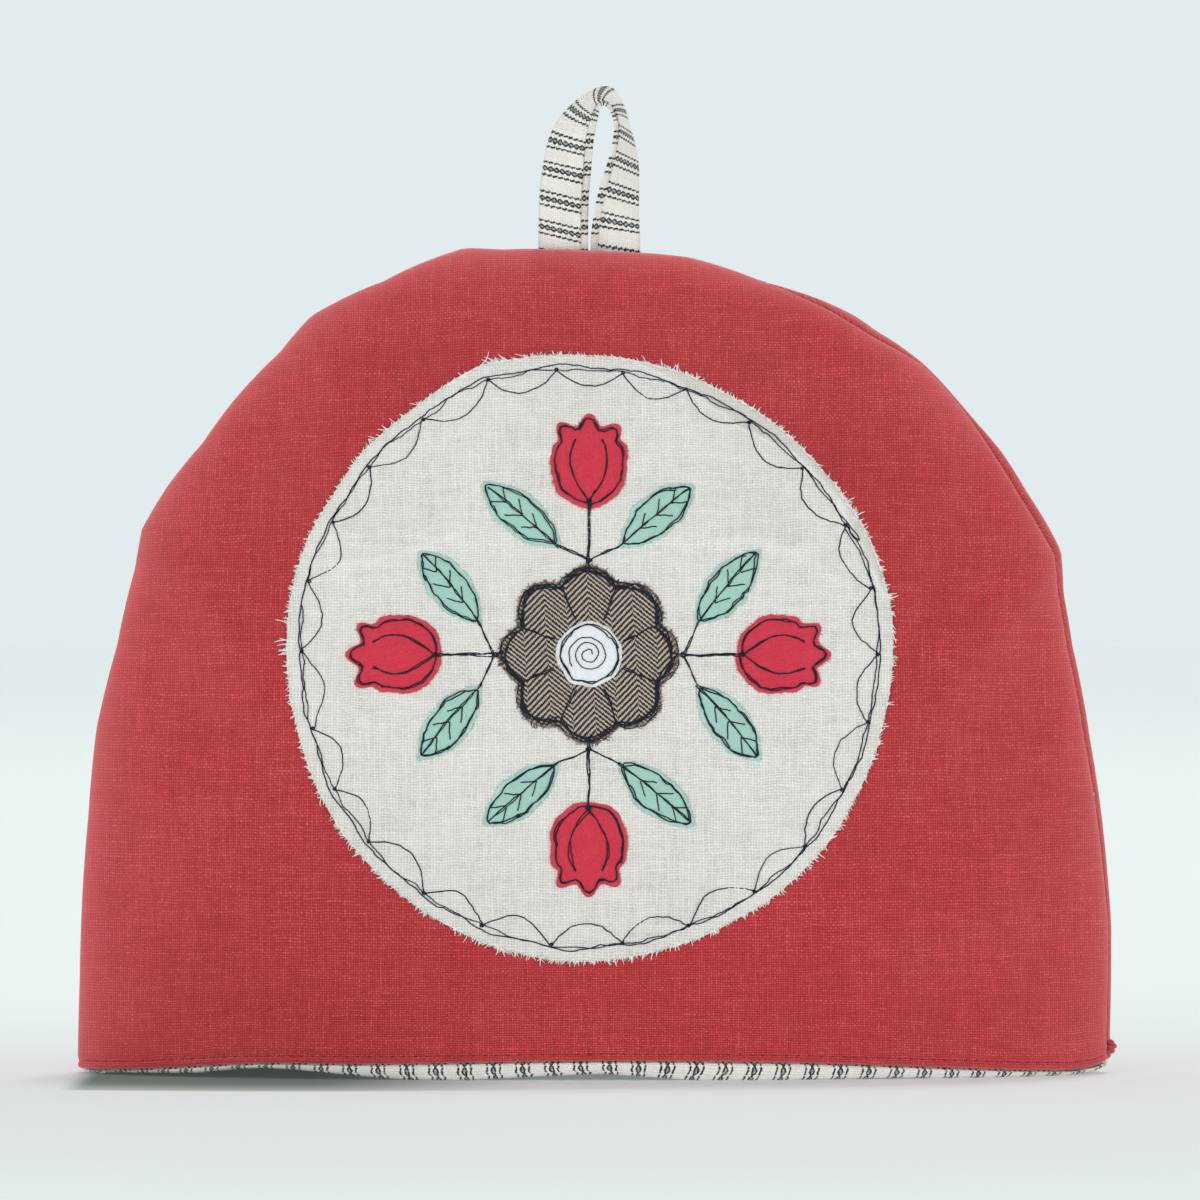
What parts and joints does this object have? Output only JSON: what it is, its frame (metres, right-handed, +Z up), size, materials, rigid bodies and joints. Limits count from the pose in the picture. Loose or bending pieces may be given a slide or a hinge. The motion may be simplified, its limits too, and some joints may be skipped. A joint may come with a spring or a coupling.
{
  "type": "tea cosy",
  "caption": "Dome-shaped padded linen tea cosy with a striped lining, a hanging loop and a round raw-edged patch with a folk flower applique; it stands on its hem.",
  "frame": {"origin": "on the surface it stands on, under the middle of the hem and in the plane of the arched seam", "axes": "+X to the right across the panels, +Y from the front with the patch to the back, +Z up to the hanging loop"},
  "size_m": [0.3386, 0.1066, 0.3239],
  "materials": {
    "red_linen": "slubbed plain-weave linen over wadding, matt",
    "ticking": "cream cotton ticking with groups of dark green-black chain and dash stripes",
    "natural_linen": "open plain-weave natural linen with a frayed raw edge",
    "tweed": "brown herringbone wool tweed with frayed edges",
    "white_cotton": "smooth white cotton",
    "bright_red_cotton": "bright red plain cotton",
    "teal_cotton": "pale teal brushed cotton"
  },
  "bodies": {
    "root": {"front_panel": "red_linen", "back_panel": "red_linen", "lining_front": "ticking", "lining_back": "ticking", "hanging_loop": "ticking", "round_patch": "natural_linen", "rosette": "tweed", "rosette_middle": "white_cotton", "tulip_1": "bright_red_cotton", "tulip_2": "bright_red_cotton", "tulip_3": "bright_red_cotton", "tulip_4": "bright_red_cotton", "leaf_1": "teal_cotton", "leaf_2": "teal_cotton", "leaf_3": "teal_cotton", "leaf_4": "teal_cotton", "leaf_5": "teal_cotton", "leaf_6": "teal_cotton", "leaf_7": "teal_cotton", "leaf_8": "teal_cotton"}
  },
  "joints": []
}
